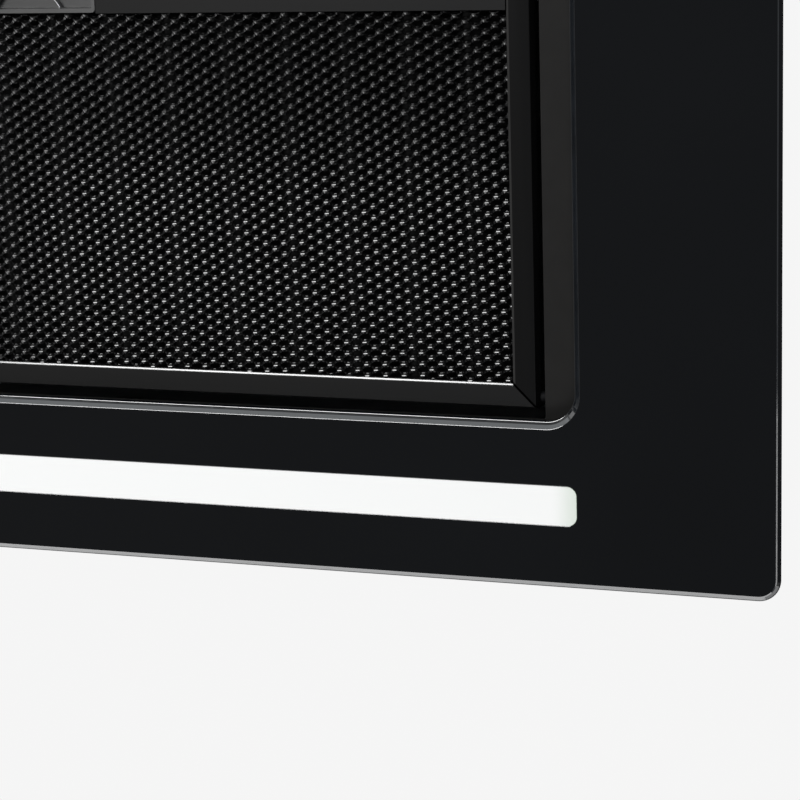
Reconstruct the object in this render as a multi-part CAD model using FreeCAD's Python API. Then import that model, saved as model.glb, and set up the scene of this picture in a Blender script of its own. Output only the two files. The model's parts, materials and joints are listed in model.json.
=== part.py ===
"""Built-in range hood with a black glass face, one grease filter and a light strip.

Millimetres, +Z up, hung in a wall cabinet. The origin is the middle of the cabinet's
underside, on the plane where the casing flange bears. Front is -Y, right is +X.
"""
import FreeCAD, Part
import math
import os

V = FreeCAD.Vector
os.makedirs("parts", exist_ok=True)

# Glass face
glass_w = 560.0
glass_d = 300.0
glass_t = 5.0
glass_corner_r = 8.0
rim_w = 1.65
rim_h = 0.5
rim_lean = 1.0
side_margin = 70.0
end_margin = 56.5
cut_corner_r = 12.5
cut_bevel = 2.3
cut_bevel_h = 1.6

# Sheet metal and adhesive
sheet_t = 1.0
bond_t = 1.0
bond_side_inset = 12.0
bond_end_inset = 6.0
bond_cut_margin = 6.0

# Casing
casing_side_inset = 45.0
casing_end_inset = 13.0
flange_corner_r = 5.0
flange_side = 31.0
flange_end = 10.0

# Grease filter
filter_h = 9.0
filter_gap = 3.1
filter_side_gap = 14.2
rail_w = 9.4
rail_sheet = 0.8
rail_round = 0.7
ledge_gap = 2.5
mesh_t = 1.0
mesh_play = 0.3
outer_pitch = 43.0
inner_pitch = 62.0
strand = 3.0
fold_pitch = 22.0
core_t = 0.6
mesh_skew_deg = -3.0

# Filter pivots
pivot_r = 2.0
pivot_inset = 4.1
pivot_rise = 4.5
pivot_len = 7.0
lug_t = 1.5
lug_half = 6.0
lug_offset = 1.0
running_clear = 0.08

# Filter latch
latch_w = 60.0
latch_d = 28.0
latch_wall = 1.5
latch_play = 0.3
bolt_w = 16.0
bolt_t = 2.0
bolt_lift = 1.3
bolt_short = 0.3
slide_clear = 0.2
slider_w = 40.0
slider_d = 6.5
grip_drop = 1.0
grip_t = 1.5
spring_t = 0.4
spring_h = 2.5
spring_half = 14.0

# Light strip
strip_h = 14.2
strip_from_cut = 20.0
strip_end_inset = 1.5
strip_corner_r = 3.5
strip_clear = 0.1
diffuser_flange = 1.2
diffuser_flange_t = 1.5
channel_wall = 1.4
channel_h = 12.0
channel_clear = 0.2
slot_clear = 0.4
led_board_w = 10.0
led_board_t = 1.2
led_size = 3.0
led_t = 0.8
led_pitch = 29.0

# Touch board
touch_w = 120.0
touch_d = 16.0
touch_t = 1.6
touch_window_clear = 2.0

# Blower
plenum_h = 30.0
scroll_front_gap = 16.0
scroll_headroom = 8.0
fan_r = 72.0
fan_inner_r = 59.0
fan_width = 92.0
fan_disc_t = 2.0
fan_ring_t = 2.0
fan_ring_lip = 0.8
blade_count = 26
blade_facets = 3
blade_t = 0.9
blade_sweep_deg = 7.5
blade_bow = 1.8
hub_r = 11.0
hub_back = 6.0
hub_front = 9.0
nut_r = 6.5
nut_t = 5.0
scroll_gap = 6.0
scroll_growth = 9.0
scroll_wall = 2.0
scroll_side_gap = 9.0
tongue_offset = 28.0
inlet_r = 60.0
scroll_foot_w = 14.0
scroll_foot_len = 70.0

# Motor
motor_r = 42.0
motor_hub_gap = 4.0
motor_rib_count = 8
motor_rib_w = 3.0
motor_rib_h = 2.0
shaft_r = 4.0
shaft_fit = 0.06
shaft_tail = 4.0
bracket_t = 2.0
bracket_disc_r = 30.0
arm_w = 14.0
arm_reach = 75.0
arm_count = 3
buffer_t = 2.5

# Outlet collar and flaps
collar_r = 74.5
collar_wall = 2.0
collar_h = 48.0
collar_plate_margin = 11.5
collar_plate_t = 2.0
collar_corner_r = 10.0
outlet_seat_w = 3.5
flap_t = 1.2
flap_edge_gap = 1.5
flap_seat_gap = 0.2
flap_rod_r = 1.6
flap_knuckle_r = 3.2
flap_knuckle_len = 58.0
flap_knuckle_gap = 0.4
flap_fit = 0.06
rod_seat = 1.2

# Electrical boxes
control_side_gap = 11.0
control_y = 0.0
control_w = 96.0
control_d = 130.0
control_h = 52.0
box_wall = 1.5
lid_rim_h = 3.0
board_d = 70.0
board_t = 1.6
board_margin = 6.0
board_stand = 6.0
board_stand_w = 6.0
relay_w = 20.0
relay_d = 16.0
relay_h = 16.0
coil_w = 26.0
coil_h = 22.0
terminal_d = 16.0
terminal_h = 14.0
wire_entry_w = 6.0
wire_entry_h = 7.0
wire_entry_depth = 9.0
terminal_poles = 3
terminal_pitch = 11.0
capacitor_w = 22.0
capacitor_len = 48.0
capacitor_h = 32.0
capacitor_gap = 5.0
capacitor_ear = 14.0
driver_side_gap = 29.0
driver_w = 60.0
driver_d = 120.0
driver_h = 28.0
gland_r = 8.0
gland_bore_r = 4.5
gland_head_r = 11.0
gland_head_h = 12.0
gland_tail = 5.0
gland_clear = 0.2
gland_from_box = 30.0

# Tolerance for finding faces and edges
tiny = 0.001

# Levels, from the cabinet plane downward
z_flange = -sheet_t
z_tray = z_flange - sheet_t
z_glass_top = z_tray - bond_t
z_face = z_glass_top - glass_t

# Derived plan sizes
cut_w = glass_w - 2 * side_margin
cut_d = glass_d - 2 * end_margin
hole_w = cut_w - 2 * cut_bevel
hole_d = cut_d - 2 * cut_bevel
filter_w = hole_w - 2 * filter_side_gap
filter_d = hole_d - 2 * filter_gap
well_w = filter_w + 2 * ledge_gap
casing_w = glass_w - 2 * casing_side_inset
casing_d = glass_d - 2 * casing_end_inset
tray_w = casing_w + 2 * flange_side
tray_d = casing_d + 2 * flange_end
strip_y = cut_d / 2 + strip_from_cut + strip_h / 2
strip_w = cut_w - 2 * strip_end_inset
channel_w = strip_h + 2 * (diffuser_flange + channel_clear + channel_wall)
channel_len = strip_w + 2 * (diffuser_flange + channel_clear)
touch_y = -(cut_d / 2 + end_margin / 2)
filter_z = z_tray
filter_top = filter_z + filter_h
pivot_y = filter_d / 2 - pivot_inset
pivot_z = filter_z + pivot_rise
casing_inner_w = casing_w - 2 * sheet_t
casing_inner_d = casing_d - 2 * sheet_t
scroll_r0 = fan_r + scroll_gap
scroll_half = fan_width / 2 + scroll_side_gap
fan_y = -casing_inner_d / 2 + scroll_front_gap + scroll_wall + scroll_r0
fan_z = filter_top + plenum_h + scroll_wall + scroll_r0 + scroll_growth
casing_inner_top = fan_z + scroll_r0 + scroll_wall + scroll_headroom
casing_h = casing_inner_top + sheet_t
outlet_y0 = fan_y + tongue_offset
outlet_y1 = fan_y + scroll_r0 + 3 * scroll_growth
collar_y = (outlet_y0 + outlet_y1) / 2
collar_bore_r = collar_r - collar_wall
collar_plate_w = 2 * (collar_r + collar_plate_margin)
flap_z = casing_h + collar_plate_t + flap_seat_gap + flap_rod_r
bracket_x = -scroll_half - scroll_wall - buffer_t
motor_end_x = -hub_back - motor_hub_gap
control_x = casing_inner_w / 2 - control_side_gap - control_w / 2
driver_x = -casing_inner_w / 2 + driver_side_gap + driver_w / 2


def box(x0, x1, y0, y1, z0, z1):
    """A box between two corners."""
    return Part.makeBox(x1 - x0, y1 - y0, z1 - z0, V(x0, y0, z0))


def plate(w, d, z0, z1, cx=0.0, cy=0.0):
    """A plain rectangular plate centred in plan."""
    return box(cx - w / 2, cx + w / 2, cy - d / 2, cy + d / 2, z0, z1)


def rounded_wire(w, d, r, z, cx=0.0, cy=0.0):
    """A rectangle with round corners, as lines and quarter arcs."""
    edges = []
    x, y = w / 2, d / 2
    corners = [(x - r, y - r, 0), (-x + r, y - r, 90), (-x + r, -y + r, 180), (x - r, -y + r, 270)]
    ends = []
    for px, py, start in corners:
        a = math.radians(start)
        points = []
        for turn in (0.0, math.pi / 4, math.pi / 2):
            points.append(V(cx + px + r * math.cos(a + turn), cy + py + r * math.sin(a + turn), z))
        edges.append(Part.Arc(*points).toShape())
        ends.append((points[0], points[2]))
    for i in range(4):
        edges.append(Part.makeLine(ends[i][1], ends[(i + 1) % 4][0]))
    return Part.Wire(Part.__sortEdges__(edges))


def rounded_plate(w, d, r, z0, z1, cx=0.0, cy=0.0):
    """A plate with round corners."""
    return Part.Face(rounded_wire(w, d, r, z0, cx, cy)).extrude(V(0, 0, z1 - z0))


def rod_x(r, x0, x1, y, z):
    """A cylinder along X."""
    return Part.makeCylinder(r, x1 - x0, V(x0, y, z), V(1, 0, 0))


def rod_z(r, z0, z1, x, y):
    """A cylinder along Z."""
    return Part.makeCylinder(r, z1 - z0, V(x, y, z0), V(0, 0, 1))


def joined(shapes):
    """One solid out of several that meet."""
    return shapes[0].multiFuse(shapes[1:]).removeSplitter()


def save(name, *solids):
    """Write one node, as one solid or as a group of separate ones."""
    flat = []
    for shape in solids:
        flat.extend(shape.Solids)
    out = flat[0] if len(flat) == 1 else Part.makeCompound(flat)
    out.exportStep("parts/" + name + ".step")


def sloped_plate(w, d, r, inset0, z0, inset1, z1):
    """A plate whose rounded outline is drawn in by one inset below and another above."""
    low = rounded_wire(w - 2 * inset0, d - 2 * inset0, r - inset0, z0)
    high = rounded_wire(w - 2 * inset1, d - 2 * inset1, r - inset1, z1)
    return Part.makeLoft([low, high], True, True)


def glass_panel():
    """Toughened glass with a rim ground on both sides, a bevelled cut-out and the light slot."""
    z_rim = z_face + rim_h
    face = sloped_plate(glass_w, glass_d, glass_corner_r, rim_w, z_face, 0, z_rim)
    back = sloped_plate(glass_w, glass_d, glass_corner_r, 0, z_rim, rim_lean, z_glass_top)
    bevel = sloped_plate(cut_w, cut_d, cut_corner_r, 0, z_face, cut_bevel, z_face + cut_bevel_h)
    hole = rounded_plate(hole_w, hole_d, cut_corner_r - cut_bevel, z_face, z_glass_top)
    slot = rounded_plate(strip_w, strip_h, strip_corner_r, z_face, z_glass_top, 0, strip_y)
    return joined([face, back]).cut(hole).cut(bevel).cut(slot)


def light_clearance(z0, z1):
    """The space that the light channel takes up in the sheet and the adhesive."""
    return plate(channel_len + 2 * slot_clear, channel_w + 2 * slot_clear, z0, z1, 0, strip_y)


def touch_clearance(z0, z1):
    """The space that the touch board takes up in the sheet and the adhesive."""
    return plate(touch_w + 2 * touch_window_clear, touch_d + 2 * touch_window_clear, z0, z1, 0, touch_y)


def glass_bond():
    """Adhesive sheet between the glass and the tray."""
    bond = rounded_plate(glass_w - 2 * bond_side_inset, glass_d - 2 * bond_end_inset, glass_corner_r,
                         z_glass_top, z_tray)
    well = plate(cut_w + 2 * bond_cut_margin, cut_d + 2 * bond_cut_margin, z_glass_top, z_tray)
    bond = bond.cut(well)
    bond = bond.cut(light_clearance(z_glass_top, z_tray))
    return bond.cut(touch_clearance(z_glass_top, z_tray))


def pivot_lug(side):
    """An upright lug on the tray that holds one filter pivot."""
    x0 = well_w / 2 + lug_offset
    y0, y1 = pivot_y - lug_half, pivot_y + lug_half
    web = box(x0, x0 + lug_t, y0, y1, z_flange, pivot_z)
    crown = rod_x(lug_half, x0, x0 + lug_t, pivot_y, pivot_z)
    crown = crown.cut(box(x0, x0 + lug_t, y0, y1, pivot_z - lug_half, pivot_z))
    lug = web.fuse(crown).cut(rod_x(pivot_r + running_clear, x0, x0 + lug_t, pivot_y, pivot_z))
    if side < 0:
        lug = lug.mirror(V(0, 0, 0), V(1, 0, 0))
    return lug


def bottom_tray():
    """Sheet tray that carries the glass, with the filter well and the pivot lugs."""
    tray = rounded_plate(tray_w, tray_d, flange_corner_r, z_tray, z_flange)
    tray = tray.cut(plate(well_w, hole_d, z_tray, z_flange))
    tray = tray.cut(light_clearance(z_tray, z_flange))
    tray = tray.cut(touch_clearance(z_tray, z_flange))
    return joined([tray, pivot_lug(-1), pivot_lug(1)])


def gland_place():
    """Plan place of the cable gland, over the control box."""
    return control_x, control_y + control_d / 2 - gland_from_box


def casing_flange():
    """Flat frame round the casing's foot that bears on the cabinet."""
    frame = rounded_plate(tray_w, tray_d, flange_corner_r, z_flange, 0)
    return frame.cut(plate(casing_w, casing_d, z_flange, 0))


def casing_end(side):
    """Front or rear casing panel; side -1 is the front one."""
    y0, y1 = sorted((side * casing_inner_d / 2, side * casing_d / 2))
    return box(-casing_w / 2, casing_w / 2, y0, y1, z_flange, casing_h)


def casing_side(side):
    """Left or right casing panel, between the front and the rear one."""
    x0, x1 = sorted((side * casing_inner_w / 2, side * casing_w / 2))
    return box(x0, x1, -casing_inner_d / 2, casing_inner_d / 2, z_flange, casing_inner_top)


def casing_top():
    """Top panel with the outlet and the cable hole."""
    top = plate(casing_w, casing_inner_d, casing_inner_top, casing_h)
    top = top.cut(rod_z(collar_bore_r, casing_inner_top, casing_h, 0, collar_y))
    gx, gy = gland_place()
    return top.cut(rod_z(gland_r + gland_clear, casing_inner_top, casing_h, gx, gy))


def light_diffuser():
    """Opal bar, flush with the glass, with a flange behind it."""
    bar = rounded_plate(strip_w - 2 * strip_clear, strip_h - 2 * strip_clear, strip_corner_r - strip_clear,
                        z_face, z_glass_top, 0, strip_y)
    flange = rounded_plate(strip_w + 2 * diffuser_flange, strip_h + 2 * diffuser_flange,
                           strip_corner_r + diffuser_flange, z_glass_top,
                           z_glass_top + diffuser_flange_t, 0, strip_y)
    return joined([bar, flange])


def led_channel():
    """Extruded aluminium channel that stands over the diffuser."""
    z1 = z_glass_top + channel_h
    outer = plate(channel_len, channel_w, z_glass_top, z1, 0, strip_y)
    inner = plate(channel_len, channel_w - 2 * channel_wall, z_glass_top, z1 - channel_wall, 0, strip_y)
    return outer.cut(inner)


def led_board():
    """Circuit strip under the channel's web, with a row of light emitters."""
    z1 = z_glass_top + channel_h - channel_wall
    board = plate(strip_w, led_board_w, z1 - led_board_t, z1, 0, strip_y)
    pieces = [board]
    count = int(strip_w // led_pitch)
    for i in range(count):
        x = (i - (count - 1) / 2) * led_pitch
        z = z1 - led_board_t
        pieces.append(plate(led_size, led_size, z - led_t, z, x, strip_y))
    return joined(pieces)


def touch_board():
    """Touch sensor board behind the front margin of the glass."""
    return plate(touch_w, touch_d, z_glass_top, z_glass_top + touch_t, 0, touch_y)


def rail_section():
    """Rolled channel of the filter frame, in the plane across a rail."""
    x1 = rail_w
    points = [V(0, 0, 0), V(x1, 0, 0), V(x1, 0, rail_sheet), V(rail_sheet, 0, rail_sheet),
              V(rail_sheet, 0, filter_h - rail_sheet), V(x1, 0, filter_h - rail_sheet),
              V(x1, 0, filter_h), V(0, 0, filter_h), V(0, 0, 0)]
    return Part.Face(Part.makePolygon(points))


def rail(length, half_span):
    """One mitred rail along Y, with its outer wall at x = -half_span."""
    bar = rail_section().extrude(V(0, length, 0))
    bar = bar.makeFillet(rail_round, [e for e in bar.Edges if is_outer_long_edge(e, length)])
    for end in (0, 1):
        y = end * length
        inward = 1 if end == 0 else -1
        mitre = Part.makePolygon([V(0, y, 0), V(rail_w, y, 0), V(rail_w, y + inward * rail_w, 0), V(0, y, 0)])
        bar = bar.cut(Part.Face(mitre).extrude(V(0, 0, filter_h)))
    bar.translate(V(-half_span, -length / 2, filter_z))
    return bar


def is_outer_long_edge(edge, length):
    """True for the two outer corner edges of a rail."""
    b = edge.BoundBox
    return b.XMax < tiny and b.YLength > length - tiny


def filter_rails():
    """Left, right, front and rear rails, with a slot for the latch bolt."""
    left = rail(filter_d, filter_w / 2)
    right = left.mirror(V(0, 0, 0), V(1, 0, 0))
    front = rail(filter_w, filter_d / 2)
    front.rotate(V(0, 0, 0), V(0, 0, 1), 90)
    rear = front.mirror(V(0, 0, 0), V(0, 1, 0))
    wall_y = -filter_d / 2
    z0 = bolt_bottom() - slide_clear
    z1 = bolt_bottom() + bolt_t + slide_clear
    bolt_slot = box(-bolt_w / 2 - slide_clear, bolt_w / 2 + slide_clear, wall_y, wall_y + rail_sheet, z0, z1)
    front = front.cut(bolt_slot)
    return {"rail_left": left, "rail_right": right, "rail_front": front, "rail_rear": rear}


def bolt_bottom():
    """Level of the latch bolt's underside, above the tray's keeper edge."""
    return filter_z + bolt_lift


def latch_y0():
    """Front face of the latch housing, behind the front rail."""
    return -filter_d / 2 + rail_w + latch_play


def mesh_y0():
    """Front edge of the mesh layers, behind the latch bars."""
    return latch_y0() + latch_d + latch_play


def latch_bar(side):
    """Blank channel beside the latch, open towards the front rail."""
    x0 = latch_w / 2 + latch_play
    x1 = filter_w / 2 - rail_w
    y0 = -filter_d / 2 + rail_w
    bar = box(x0, x1, y0, mesh_y0(), filter_z, filter_top)
    bar = bar.cut(box(x0, x1, y0, mesh_y0() - rail_sheet, filter_z + rail_sheet, filter_top - rail_sheet))
    return bar if side > 0 else bar.mirror(V(0, 0, 0), V(1, 0, 0))


def mesh_hole(cx, cy, pitch):
    """One diamond opening between the strands of the expanded sheet."""
    a = pitch / 2 - strand
    c = a / math.sqrt(3)
    turn = math.radians(mesh_skew_deg)
    points = []
    for x, y in [(a, 0), (0, c), (-a, 0), (0, -c)]:
        px, py = cx + x, cy + y
        points.append((px * math.cos(turn) - py * math.sin(turn), px * math.sin(turn) + py * math.cos(turn)))
    return points


def hole_fits(points):
    """True where an opening lies inside the frame and clear of the latch bars."""
    half_w = filter_w / 2 - rail_w
    y_min = mesh_y0() + strand
    y_max = filter_d / 2 - rail_w
    return all(abs(x) < half_w and y_min < y < y_max for x, y in points)


def mesh_layer(z0, z1):
    """The space of one mesh layer inside the rails, behind the latch bars."""
    half_w = filter_w / 2 - rail_sheet - mesh_play
    return box(-half_w, half_w, mesh_y0() + mesh_play, filter_d / 2 - rail_sheet - mesh_play, z0, z1)


def mesh_sheet(pitch, z0):
    """Expanded sheet: one face with staggered openings, given its thickness."""
    outline = mesh_layer(z0, z0 + mesh_t)
    floor = [f for f in outline.Faces if abs(f.BoundBox.ZMax - z0) < tiny][0]
    wires = [floor.OuterWire]
    row_step = pitch / math.sqrt(3) / 2
    rows = int(filter_d / row_step)
    columns = int(filter_w / pitch)
    for row in range(-rows, rows + 1):
        for column in range(-columns, columns + 1):
            cx = (column + 0.5 * (row % 2)) * pitch
            points = mesh_hole(cx, row * row_step, pitch)
            if hole_fits(points):
                corners = [V(x, y, z0) for x, y in points]
                wires.append(Part.makePolygon(corners + corners[:1]))
    face = Part.makeFace(wires, "Part::FaceMakerBullseye")
    return face.extrude(V(0, 0, mesh_t))


def mesh_core():
    """Corrugated inner layer of the filter, between the two outer sheets."""
    z0 = filter_z + rail_sheet + mesh_t
    z1 = filter_top - rail_sheet - mesh_t
    space = mesh_layer(z0, z1).BoundBox
    folds = 2 * int(space.XLength / fold_pitch)
    under = []
    over = []
    for i in range(folds + 1):
        x = space.XMin + i * space.XLength / folds
        low, high = (z0, z0 + core_t) if i % 2 == 0 else (z1 - core_t, z1)
        under.append(V(x, space.YMin, low))
        over.append(V(x, space.YMin, high))
    outline = under + over[::-1] + under[:1]
    return Part.Face(Part.makePolygon(outline)).extrude(V(0, space.YLength, 0))


def pivot_pins():
    """Two studs on the filter's side rails."""
    x = filter_w / 2
    right = rod_x(pivot_r, x, x + pivot_len, pivot_y, pivot_z)
    return [right, right.mirror(V(0, 0, 0), V(1, 0, 0))]


def latch_housing():
    """Moulded cup in the filter's front edge, open below for a finger."""
    y0 = latch_y0()
    y1 = y0 + latch_d
    z1 = filter_top
    cup = rounded_plate(latch_w, latch_d, latch_wall, filter_z, z1, 0, (y0 + y1) / 2)
    cavity = plate(latch_w - 2 * latch_wall, latch_d - 2 * latch_wall, filter_z, z1 - latch_wall, 0,
                   (y0 + y1) / 2)
    z0 = bolt_bottom() - slide_clear
    slot = box(-bolt_w / 2 - slide_clear, bolt_w / 2 + slide_clear, y0, y0 + latch_wall, z0,
               z0 + bolt_t + 2 * slide_clear)
    return cup.cut(cavity).cut(slot)


def slider_span():
    """Front and rear faces of the latch slider's body."""
    y0 = latch_y0() + latch_wall + slide_clear
    return y0, y0 + slider_d


def latch_slider():
    """Sliding bolt with a grip edge, drawn back by a finger."""
    y0, y1 = slider_span()
    z0 = bolt_bottom()
    tip = -hole_d / 2 + bolt_short
    bolt = box(-bolt_w / 2, bolt_w / 2, tip, y0, z0, z0 + bolt_t)
    body = box(-slider_w / 2, slider_w / 2, y0, y1, z0, filter_top - latch_wall - slide_clear)
    grip = box(-slider_w / 2, slider_w / 2, y1 - grip_t, y1, z0 - grip_drop, z0)
    return joined([bolt, body, grip])


def latch_spring():
    """Bent strip spring between the slider and the back of the housing."""
    apex = slider_span()[1] + slide_clear
    foot = latch_y0() + latch_d - latch_wall - slide_clear
    z1 = filter_top - latch_wall - slide_clear
    depth = foot - apex
    leg = math.hypot(spring_half, depth)
    foot_half = spring_half - spring_t * leg / depth
    outline = [(-spring_half, foot), (0, apex), (spring_half, foot), (foot_half, foot),
               (0, apex + spring_t * leg / spring_half), (-foot_half, foot), (-spring_half, foot)]
    strip = Part.makePolygon([V(x, y, z1 - spring_h) for x, y in outline])
    return Part.Face(strip).extrude(V(0, 0, spring_h))


def volute(extra, x0, x1):
    """The blower's inner space: three growing quarter arcs, then an upright throat."""
    g = scroll_growth
    top = casing_inner_top
    y_in = outlet_y0 - extra
    y_out = outlet_y1 + extra
    r0 = scroll_r0
    arcs = [(fan_y, fan_z, r0), (fan_y + g, fan_z, r0 + g), (fan_y + g, fan_z + g, r0 + 2 * g)]
    tongue = math.acos((y_in - fan_y) / (r0 + extra))
    spans = [(tongue, math.pi), (math.pi, 1.5 * math.pi), (1.5 * math.pi, 2 * math.pi)]
    edges = []
    ends = []
    for (cy, cz, radius), (a0, a1) in zip(arcs, spans):
        points = []
        for a in (a0, (a0 + a1) / 2, a1):
            points.append(V(x0, cy + (radius + extra) * math.cos(a), cz + (radius + extra) * math.sin(a)))
        edges.append(Part.Arc(*points).toShape())
        ends.append((points[0], points[2]))
    start, finish = ends[0][0], ends[-1][1]
    edges.append(Part.makeLine(finish, V(x0, y_out, top)))
    edges.append(Part.makeLine(V(x0, y_out, top), V(x0, y_in, top)))
    edges.append(Part.makeLine(V(x0, y_in, top), start))
    return Part.Face(Part.Wire(Part.__sortEdges__(edges))).extrude(V(x1 - x0, 0, 0))


def scroll_wrap():
    """Curved wall of the blower housing, between its two sides."""
    return volute(scroll_wall, -scroll_half, scroll_half).cut(volute(0.0, -scroll_half, scroll_half))


def scroll_side(side):
    """One side of the blower housing, with the inlet and a foot under the casing's top."""
    x0 = scroll_half
    x1 = scroll_half + scroll_wall
    wall = volute(scroll_wall, x0, x1).cut(rod_x(inlet_r, x0, x1, fan_y, fan_z))
    foot = box(x1, x1 + scroll_foot_w, collar_y - scroll_foot_len / 2, collar_y + scroll_foot_len / 2,
               casing_inner_top - scroll_wall, casing_inner_top)
    wall = joined([wall, foot])
    return wall if side > 0 else wall.mirror(V(0, 0, 0), V(1, 0, 0))


def blade_outline(angle, x):
    """Section of one forward-curved blade: a bowed strip from the inner to the outer radius."""
    sweep = math.radians(blade_sweep_deg)
    turn = 2 * blade_t / (fan_inner_r + fan_r)
    back = []
    face = []
    for i in range(blade_facets + 1):
        share = i / blade_facets
        r = fan_inner_r + share * (fan_r - fan_inner_r)
        a = angle + sweep * share ** blade_bow
        back.append(V(x, fan_y + r * math.cos(a), fan_z + r * math.sin(a)))
        face.append(V(x, fan_y + r * math.cos(a + turn), fan_z + r * math.sin(a + turn)))
    return Part.Face(Part.makePolygon(back + face[::-1] + back[:1]))


def impeller():
    """Double-inlet fan wheel: middle disc, two end rings, hub and curved blades."""
    half = fan_width / 2
    rim_r = fan_r + fan_ring_lip
    pieces = [rod_x(rim_r, -fan_disc_t / 2, fan_disc_t / 2, fan_y, fan_z)]
    pieces.append(rod_x(hub_r, -hub_back, hub_front, fan_y, fan_z))
    for x0 in (-half, half - fan_ring_t):
        ring = rod_x(rim_r, x0, x0 + fan_ring_t, fan_y, fan_z)
        pieces.append(ring.cut(rod_x(fan_inner_r - fan_ring_lip, x0, x0 + fan_ring_t, fan_y, fan_z)))
    span = half - fan_ring_t - fan_disc_t / 2
    for i in range(blade_count):
        angle = 2 * math.pi * i / blade_count
        pieces.append(blade_outline(angle, fan_disc_t / 2).extrude(V(span, 0, 0)))
        pieces.append(blade_outline(angle, -fan_disc_t / 2).extrude(V(-span, 0, 0)))
    wheel = pieces[0].multiFuse(pieces[1:])
    return wheel.cut(rod_x(shaft_r, -hub_back, hub_front, fan_y, fan_z))


def motor_housing():
    """Motor can with cooling ribs and a bore for the shaft."""
    x0 = bracket_x
    x1 = motor_end_x
    pieces = [rod_x(motor_r, x0, x1, fan_y, fan_z)]
    for i in range(motor_rib_count):
        rib = box(x0, x1, fan_y - motor_rib_w / 2, fan_y + motor_rib_w / 2,
                  fan_z + motor_r - motor_rib_h, fan_z + motor_r + motor_rib_h)
        rib.rotate(V(0, fan_y, fan_z), V(1, 0, 0), i * 360 / motor_rib_count)
        pieces.append(rib)
    motor = joined(pieces)
    return motor.cut(rod_x(shaft_r + shaft_fit, x0 + shaft_tail, x1, fan_y, fan_z))


def motor_shaft():
    """Shaft from the motor's tail bearing to just past the wheel's nut."""
    x0 = bracket_x + shaft_tail + shaft_fit
    return rod_x(shaft_r, x0, hub_front + nut_t + shaft_tail / 2, fan_y, fan_z)


def impeller_nut():
    """Six-sided nut that clamps the wheel on its shaft."""
    points = []
    for i in range(7):
        a = math.radians(60 * i)
        points.append(V(hub_front, fan_y + nut_r * math.cos(a), fan_z + nut_r * math.sin(a)))
    nut = Part.Face(Part.makePolygon(points)).extrude(V(nut_t, 0, 0))
    return nut.cut(rod_x(shaft_r, hub_front, hub_front + nut_t, fan_y, fan_z))


def arm_block(reach0, x0, x1):
    """Three equal blocks along the bracket's arms, from a radius to the arms' ends."""
    blocks = []
    for i in range(arm_count):
        block = box(x0, x1, fan_y + reach0, fan_y + arm_reach, fan_z - arm_w / 2, fan_z + arm_w / 2)
        block.rotate(V(0, fan_y, fan_z), V(1, 0, 0), 90 + i * 360 / arm_count)
        blocks.append(block)
    return blocks


def motor_bracket():
    """Three-armed spider that carries the motor in the left inlet."""
    x0 = bracket_x - bracket_t
    disc = rod_x(bracket_disc_r, x0, bracket_x, fan_y, fan_z)
    return joined([disc] + arm_block(0.0, x0, bracket_x))


def motor_buffers():
    """Bonded rubber buffers between the bracket's arms and the blower's left side."""
    return arm_block(arm_reach - arm_w, bracket_x, -scroll_half - scroll_wall)


def outlet_collar():
    """Top collar: square plate that seats the flaps, and a round spigot."""
    z0 = casing_h
    z1 = z0 + collar_plate_t
    base = rounded_plate(collar_plate_w, collar_plate_w, collar_corner_r, z0, z1, 0, collar_y)
    base = base.cut(rod_z(collar_bore_r - outlet_seat_w, z0, z1, 0, collar_y))
    spigot = rod_z(collar_r, z1, z1 + collar_h, 0, collar_y)
    spigot = spigot.cut(rod_z(collar_bore_r, z1, z1 + collar_h, 0, collar_y))
    reach = collar_bore_r + rod_seat
    seat = flap_rod_r + flap_fit
    spigot = spigot.cut(box(-reach, reach, collar_y - seat, collar_y + seat, z1, flap_z + seat))
    return joined([base, spigot])


def flap_rod():
    """Rod across the collar that both flaps turn on."""
    reach = collar_bore_r + rod_seat - flap_fit
    return rod_x(flap_rod_r, -reach, reach, collar_y, flap_z)


def flap(side):
    """One half-round flap with a knuckle on the rod; side -1 is the front one."""
    z0 = flap_z - flap_t / 2
    z1 = flap_z + flap_t / 2
    disc = rod_z(collar_bore_r - flap_edge_gap, z0, z1, 0, collar_y)
    far = collar_y + side * collar_r
    near = collar_y + side * (flap_knuckle_r + flap_knuckle_gap)
    half = box(-collar_r, collar_r, min(far, near), max(far, near), z0, z1)
    x0, x1 = sorted((side * flap_knuckle_gap / 2, side * (flap_knuckle_gap / 2 + flap_knuckle_len)))
    web = box(x0, x1, min(collar_y, near), max(collar_y, near), z0, z1)
    knuckle = rod_x(flap_knuckle_r, x0, x1, collar_y, flap_z)
    flap_shape = joined([disc.common(half), web, knuckle])
    return flap_shape.cut(rod_x(flap_rod_r + flap_fit, -collar_r, collar_r, collar_y, flap_z))


def board_places():
    """Plan places of the control board's four stand-offs."""
    x = control_w / 2 - box_wall - board_margin
    y0 = control_y - control_d / 2 + box_wall + board_margin
    y1 = y0 + board_d - board_stand_w
    return [(control_x + sx * x, y) for sx in (-1, 1) for y in (y0, y1)]


def control_box():
    """Moulded box under the casing's top, open below, with board stand-offs."""
    z1 = casing_inner_top
    z0 = z1 - control_h
    shell = plate(control_w, control_d, z0, z1, control_x, control_y)
    inner = plate(control_w - 2 * box_wall, control_d - 2 * box_wall, z0, z1 - box_wall, control_x, control_y)
    pieces = [shell.cut(inner)]
    for x, y in board_places():
        pieces.append(plate(board_stand_w, board_stand_w, z1 - box_wall - board_stand, z1 - box_wall, x, y))
    gx, gy = gland_place()
    return joined(pieces).cut(rod_z(gland_r + gland_clear, z1 - box_wall, z1, gx, gy))


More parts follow.
